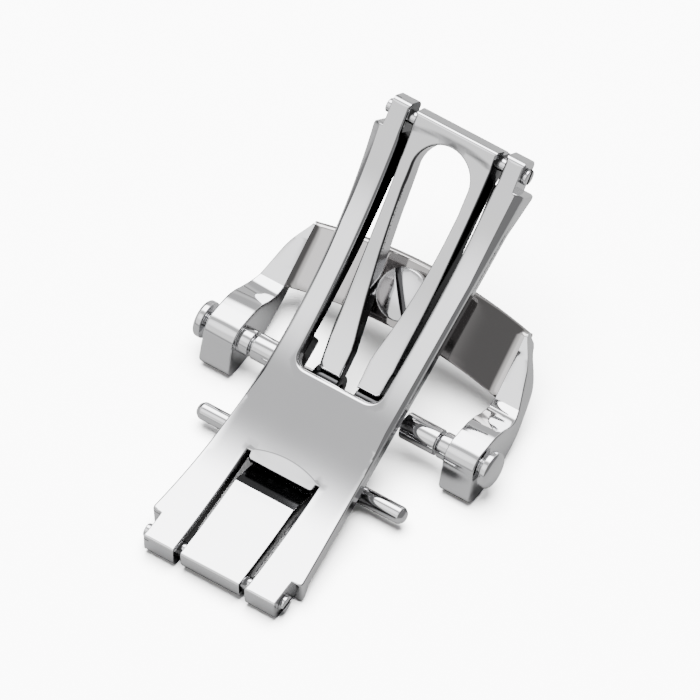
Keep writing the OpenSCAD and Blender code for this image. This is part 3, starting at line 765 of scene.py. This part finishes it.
def arm_outline():
    """An arm from the side: ear, foot, underside, the plate's end, top with its S-curve."""
    floor_z = -CROSS[1]
    under = -NORMAL * PLATE_T
    end = PLATE_START + ALONG * PLATE_W
    low = smooth([(2.2, floor_z), (3.4, floor_z + 0.75), (4.8, floor_z + 1.4),
                  tuple(PLATE_START + under + ALONG * (0.3 * PLATE_W))])
    top = smooth([tuple(PLATE_START), (4.7, 0.22), (3.8, 0.5), (2.8, 1.08), (1.9, 1.42), (1.0, 1.52)])
    corner = []
    for i in range(7):
        t = math.pi / 2 * i / 6
        corner.append(tuple(end - (ALONG + NORMAL) * ARM_CORNER + ALONG * (ARM_CORNER * math.cos(t))
                            + NORMAL * (ARM_CORNER * math.sin(t))))
    return (round_points(0, 0, EAR_R, 90, 180, 16)
            + round_points(-1, floor_z + FOOT_R, FOOT_R, 180, 270, 12) + low
            + [tuple(end + under)] + corner + top)


# The arms' outer sides from above, as (x, y)
PLAN = smooth([(EAR_OUT, -4), (EAR_OUT, 3), (EAR_OUT - 0.15, 5.5), (EAR_OUT - 0.7, 7.8),
               (10.1, FAR_Y - 0.3), (9.8, FAR_Y + 0.3), (9.0, FAR_Y + 1),
               (7.3, FAR_Y + PLATE_BOW + 2 * PLATE_T)])
PLAN_X, PLAN_Y = zip(*PLAN)
ARM_LEAN, LEAN_FROM, LEAN_OVER = 0.55, 3.5, 4.0


def arm_side(y, z):
    """Outer side of an arm: it leans in towards its top near the plate."""
    rise = 1.0 + (Vector((y, z)) - PLATE_START).dot(NORMAL) / PLATE_T
    lean = ARM_LEAN * ease((y - LEAN_FROM) / LEAN_OVER) * clamp(rise)
    return float(np.interp(y, PLAN_Y, PLAN_X)) - lean


def arm_point(y, z, drop):
    x = EAR_IN + (arm_side(y, z) - EAR_IN) * (1 - drop / (EAR_OUT - EAR_IN))
    return (x, CROSS[0] + y, CROSS[1] + z)


arm = shell([(y, z, 0.16, 0.12) for y, z in arm_outline()], arm_point,
            depth=lambda y, z: EAR_OUT - EAR_IN, step=0.3, grid=0.4)
buckle = Surface().join(arm).join(arm.mirrored())
piece("buckle_frame_body", buckle, "frame", ["buckle_frame"], polished)

# Plate: a place on it is x across the clasp and v along its tilted face
PLATE_HALF, PLATE_DISH, DISH_HALF, DISH_RISE = 9.38, 0.22, 8.75, 0.6
PLATE_R = (EAR_IN ** 2 + PLATE_BOW ** 2) / (2 * PLATE_BOW)


def plate_edge(x):
    return PLATE_BOW - PLATE_R + math.sqrt(PLATE_R ** 2 - x * x)


def plate_point(x, v, drop):
    p = PLATE_START + ALONG * v - NORMAL * drop
    return (x, CROSS[0] + p.x, CROSS[1] + p.y)


def plate_top(x, v):
    """The face lies a little below the arms and rises to them in a fillet."""
    t = clamp((abs(x) - DISH_HALF) / DISH_RISE)
    return PLATE_DISH * (1 - t * t)


def plate_outline():
    """Once round the plate, as (x, v, rim, rim below), with crisp rims at its ends."""
    xs = [-PLATE_HALF + 2 * PLATE_HALF * i / 60 for i in range(61)]
    near = [(x, plate_edge(x), 0.14, 0.14) for x in xs]
    far = [(x, PLATE_W + plate_edge(x), 0.46, 0.3) for x in reversed(xs)]
    near[-1] = (*near[-1][:2], CRISP, CRISP)
    far[-1] = (*far[-1][:2], CRISP, CRISP)
    return near + far


plate = shell(plate_outline(), plate_point, lambda x, v: PLATE_T, plate_top)
piece("buckle_plate_body", plate, "frame", [], plate_mat)

# Stud
STUD_V, STUD_H, HEAD_T, HEAD_R, NECK_R = 3.75, 2.5, 0.95, 2.05, 1.2
SLOT_DEPTH = HEAD_T * 0.4
SLOT_TURN = math.radians(126)
STUD_HALF_SLOT, STUD_DOME = 0.225, 0.055


def stud_point(a, b, drop):
    c, s = math.cos(SLOT_TURN), math.sin(SLOT_TURN)
    return plate_point(a * c - b * s, STUD_V + a * s + b * c, drop - STUD_H)


def half_disc(r, half_slot, rim):
    """Half of a slotted head: a disc's part beyond its slot."""
    steps = 32
    first = math.asin(half_slot / r)
    angles = [first + (math.pi - 2 * first) * i / steps for i in range(steps + 1)]
    pts = [(r * math.cos(t), r * math.sin(t), rim, 0.0) for t in angles]
    pts[-1] = (*pts[-1][:2], 0.05, 0.0)
    return pts


def turned(profile, place):
    """A turned piece about the third axis of place, from (radius, drop). Its last
    two faces are its ends."""
    verts, faces = [], []
    n = 96
    for r, d in profile:
        for i in range(n):
            t = 2 * math.pi * i / n
            verts.append(place(r * math.cos(t), r * math.sin(t), d))
    m = len(profile)
    for k in range(m - 1):
        for i in range(n):
            j = (i + 1) % n
            faces.append((k * n + i, (k + 1) * n + i, (k + 1) * n + j, k * n + j))
    faces.append(tuple(range(n)))
    faces.append(tuple(reversed(range((m - 1) * n, m * n))))
    surface = Surface()
    surface.add(verts, faces)
    return surface


def slotted(place, r, half_slot, rim, slot_depth, profile, dome=0.0):
    """A slotted head: two half discs over a turned body, whose top is the slot's floor. The slot's floor
    and walls take painted shade.
    """
    surface = turned(profile, place)
    # Painted shade on the slot's floor
    surface.slots[-2] = PAINTED_SHADE
    for turn in (1, -1):
        half = shell(half_disc(r, half_slot, rim), lambda a, b, drop: place(a * turn, b * turn, drop),
                     lambda a, b: slot_depth + 0.02, lambda a, b: dome * (a * a + b * b),
                     step=0.2, grid=0.25, dark=lambda a, b: b < half_slot + 0.02)
        surface.join(half)
    return surface


below_slot = [(HEAD_R, SLOT_DEPTH), (HEAD_R, HEAD_T - 0.1), (HEAD_R - 0.03, HEAD_T - 0.03),
              (HEAD_R - 0.1, HEAD_T), (NECK_R + 0.12, HEAD_T), (NECK_R + 0.03, HEAD_T + 0.04),
              (NECK_R, HEAD_T + 0.14), (NECK_R, STUD_H - 0.15), (NECK_R + 0.05, STUD_H - 0.05),
              (NECK_R + 0.14, STUD_H - 0.01)]
stud = slotted(stud_point, HEAD_R, STUD_HALF_SLOT, 0.14, SLOT_DEPTH, below_slot, STUD_DOME)
piece("stud_body", stud, "frame", ["stud"], pin_mat)

# Hinge screws
SCREW_HEAD_R, SCREW_R, SCREW_HALF_SLOT, SCREW_SLOT_DEPTH = 0.65, 0.55, 0.175, 0.2
SCREW_PROUD, SCREW_END_PROUD = 0.41, 0.55


def hinge_screw(name, at, s):
    """A screw through the knuckles: a slotted head at the right, a plain end at the left."""
    cos_a, sin_a = math.cos(slope(s)), math.sin(slope(s))
    side = KNUCKLE_W / 2

    def place(p, q, drop):
        return (side + SCREW_PROUD - drop, at[0] + p * cos_a - q * sin_a, at[1] + p * sin_a + q * cos_a)

    neck = [(SCREW_HEAD_R, SCREW_SLOT_DEPTH), (SCREW_HEAD_R, 0.38), (SCREW_R, 0.4), (SCREW_R, 0.6)]
    screw = slotted(place, SCREW_HEAD_R, SCREW_HALF_SLOT, 0.1, SCREW_SLOT_DEPTH, neck)
    screw.join(lathe([(-side - SCREW_END_PROUD, 0), (-side - SCREW_END_PROUD, SCREW_R),
                      (side - 0.1, SCREW_R), (side - 0.1, 0)], at, 0.12))
    piece(name + "_body", screw, "blade", [name], pin_mat)


hinge_screw("fork_hinge_screw", FORK_HINGE, BLADE_LEN - HINGE_S)
hinge_screw("tongue_hinge_screw", TONGUE_HINGE, HINGE_S)

# Strap bar and cross bar, turned pieces as (x, radius)
STRAP_BAR_R, STRAP_BAR_END = 0.69, 9.15
TUBE_IN, TUBE_OUT, TUBE_R, STEM_R, STEM_BORE_R = 5.1, 8.1, 1.05, 0.6, 0.64
STEM_BORE_IN, STEM_IN, PIN_IN, PIN_OUT = 6.2, 7.1, 1.15, 6.1
FLANGE_IN, BUSH_R, CAP_IN, CAP_R = 8.35, 0.95, 12.3, 1.475

strap_bar = [(STRAP_BAR_END, 0), (STRAP_BAR_END, 0.4), (STRAP_BAR_END - 0.35, STRAP_BAR_R)]
strap_bar = [(-x, r) for x, r in strap_bar] + strap_bar[::-1]
piece("strap_bar_body", lathe(strap_bar, STRAP, 0.15), "tongue", ["strap_bar"], polished)


def both(name, right, bodies, material):
    """A right piece and its mirror image, riding on the bodies (right, left)."""
    for side, surface, body in zip(("_right", "_left"), (right, right.mirrored()), bodies):
        piece(name + side + "_body", surface, body, [name + side], material)


def coil():
    """A return spring, as a wire wound round the cross bar's axis."""
    turns, n, m = 3.0, 90, 10
    coil_r, wire_r, first, last = 0.5, 0.085, 6.3, 6.66
    verts, faces = [], []
    for i in range(n + 1):
        t = 2 * math.pi * turns * i / n
        x = first + (last - first) * i / n
        for k in range(m):
            a = 2 * math.pi * k / m
            r = coil_r + wire_r * math.cos(a)
            verts.append((x + wire_r * math.sin(a), CROSS[0] + r * math.cos(t), CROSS[1] + r * math.sin(t)))
    for i in range(n):
        for k in range(m):
            j = (k + 1) % m
            faces.append((i * m + k, i * m + j, (i + 1) * m + j, (i + 1) * m + k))
    faces.append(tuple(reversed(range(m))))
    faces.append(tuple(range(n * m, n * m + m)))
    surface = Surface()
    surface.add(verts, faces)
    return surface


bush_in, bush_out = EAR_IN - 0.01, EAR_OUT + 0.02
tube = [(TUBE_IN, PIN_SEAT_R), (TUBE_IN, TUBE_R), (TUBE_OUT, TUBE_R), (TUBE_OUT, STEM_BORE_R),
        (STEM_BORE_IN, STEM_BORE_R), (STEM_BORE_IN, PIN_SEAT_R)]
bush = [(FLANGE_IN, STEM_BORE_R), (FLANGE_IN, TUBE_R), (bush_in, TUBE_R),
        (bush_in, BUSH_R), (bush_out, BUSH_R), (bush_out, STEM_BORE_R)]
button = [(STEM_IN, 0), (STEM_IN, STEM_R), (CAP_IN, STEM_R), (CAP_IN, CAP_R), (12.8, CAP_R),
          (12.97, 1.3), (13.05, 0.95), (13.09, 0.5), (13.1, 0)]
pin = [(PIN_IN, 0), (PIN_IN, PIN_R), (PIN_OUT, PIN_R), (PIN_OUT, 0)]
both("bar_tube", lathe(tube, CROSS, 0.08), ("fork", "fork"), polished)
both("ear_bush", lathe(bush, CROSS, 0.08), ("frame", "frame"), polished)
both("push_button", lathe(button, CROSS, 0.12), ("button_right", "button_left"), polished)
both("latch_pin", lathe(pin, CROSS, 0.08), ("fork", "fork"), pin_mat)
both("return_spring", coil(), ("fork", "fork"), spring_mat)


# Floor: a white table for the eye, and a darker one below it for what the steel reflects
FLOOR_REACH = 3.0
TABLE_Z, REFLECTED_Z = -0.02 * MM, -0.04 * MM


def floor(name, z, tone_a, tone_b):
    """A square floor at height z whose grey wanders between two tones."""
    material = bpy.data.materials.new(name)
    material.use_nodes = True
    tree = material.node_tree
    shader = tree.nodes["Principled BSDF"]
    shader.inputs["Roughness"].default_value = 0.6
    noise = add_node(tree, "TexNoise", {"Scale": 30.0})
    tone = add_node(tree, "Mix", {"Factor": noise.outputs["Fac"], "A": (tone_a, tone_a, tone_a, 1),
                                  "B": (tone_b, tone_b, tone_b, 1)}, data_type="RGBA")
    tree.links.new(tone.outputs["Result"], shader.inputs["Base Color"])
    mesh = bpy.data.meshes.new(name)
    corners = ((-1, -1), (1, -1), (1, 1), (-1, 1))
    mesh.from_pydata([(x * FLOOR_REACH, y * FLOOR_REACH, 0) for x, y in corners], [], [(0, 1, 2, 3)])
    mesh.materials.append(material)
    obj = bpy.data.objects.new(name, mesh)
    obj.location.z = z
    bpy.context.collection.objects.link(obj)
    return obj


table = floor("table", TABLE_Z, 0.60, 0.62)
table.visible_glossy = False
table.visible_diffuse = False
table.visible_shadow = False
reflected = floor("table_below", REFLECTED_Z, 0.038, 0.044)
reflected.visible_camera = False

# The key light lies overhead and is too soft to show in the steel itself
key_data = bpy.data.lights.new("key", "AREA")
key_data.shape = "DISK"
key_data.size = 0.8
key_data.energy = 145.0
key = bpy.data.objects.new("key", key_data)
key.location = (-0.05, 0.12, 0.85)
key.rotation_euler = (Vector((0, 0, 0)) - key.location).to_track_quat("-Z", "Y").to_euler()
key.visible_glossy = False
bpy.context.collection.objects.link(key)

# The studio round the part: a pale tent with bright and dark panels, by direction
TENT = 1.5
PANELS = [
    # towards, inner and outer angle in degrees, brightness
    ((-0.33, 0.34, 0.88), 12, 30, 9.0),
    ((-0.33, -0.20, 0.92), 4, 22, 0.85),
    ((-0.33, 0.84, 0.42), 8, 20, 0.7),
    ((-0.33, -0.55, 0.77), 6, 20, 2.6),
    ((0.52, -0.76, 0.38), 16, 26, 0.04),
    ((0.78, 0.50, 0.38), 18, 28, 0.04),
    ((-0.84, 0.48, 0.16), 24, 34, 0.04),
]
# Shades over one side each: axis, where the shade starts and is full, brightness
SHADES = [("X", 0.0, 0.25, 0.24), ("Z", 0.22, 0.0, 0.3)]

world = bpy.data.worlds.new("studio")
world.use_nodes = True
bpy.context.scene.world = world
studio = world.node_tree


def fade(value, start, full):
    """0 where the value is at start, and 1 where it is at full or beyond."""
    node = add_node(studio, "MapRange", {"Value": value, "From Min": start, "From Max": full},
                    interpolation_type="SMOOTHSTEP")
    return node.outputs["Result"]


def laid_over(below, share, value):
    """A panel of one brightness laid over what is there, by its share in each direction."""
    node = add_node(studio, "Mix", {"Factor": share, "A": below, "B": (value, value, value * 1.01, 1)},
                    data_type="RGBA", clamp_factor=True)
    return node.outputs["Result"]


direction = add_node(studio, "TexCoord", {}).outputs["Generated"]
split = add_node(studio, "SeparateXYZ", {"Vector": direction}).outputs
light = (TENT, TENT, TENT, 1)
for towards, inner, outer, value in PANELS:
    dot = add_node(studio, "VectorMath", {0: direction, 1: Vector(towards).normalized()},
                   operation="DOT_PRODUCT")
    share = fade(dot.outputs["Value"], math.cos(math.radians(outer)), math.cos(math.radians(inner)))
    light = laid_over(light, share, value)
# A dark band low down, except towards the front and the back
span = add_node(studio, "Math", {0: split["Y"]}, operation="ABSOLUTE")
band = add_node(studio, "Math", {0: fade(split["Z"], 0.26, 0.14),
                                 1: fade(span.outputs["Value"], 0.85, 0.55)}, operation="MULTIPLY")
light = laid_over(light, band.outputs["Value"], 0.03)
for axis, start, full, value in SHADES:
    light = laid_over(light, fade(split[axis], start, full), value)
background = studio.nodes["Background"]
background.inputs["Strength"].default_value = 1.0
studio.links.new(light, background.inputs["Color"])
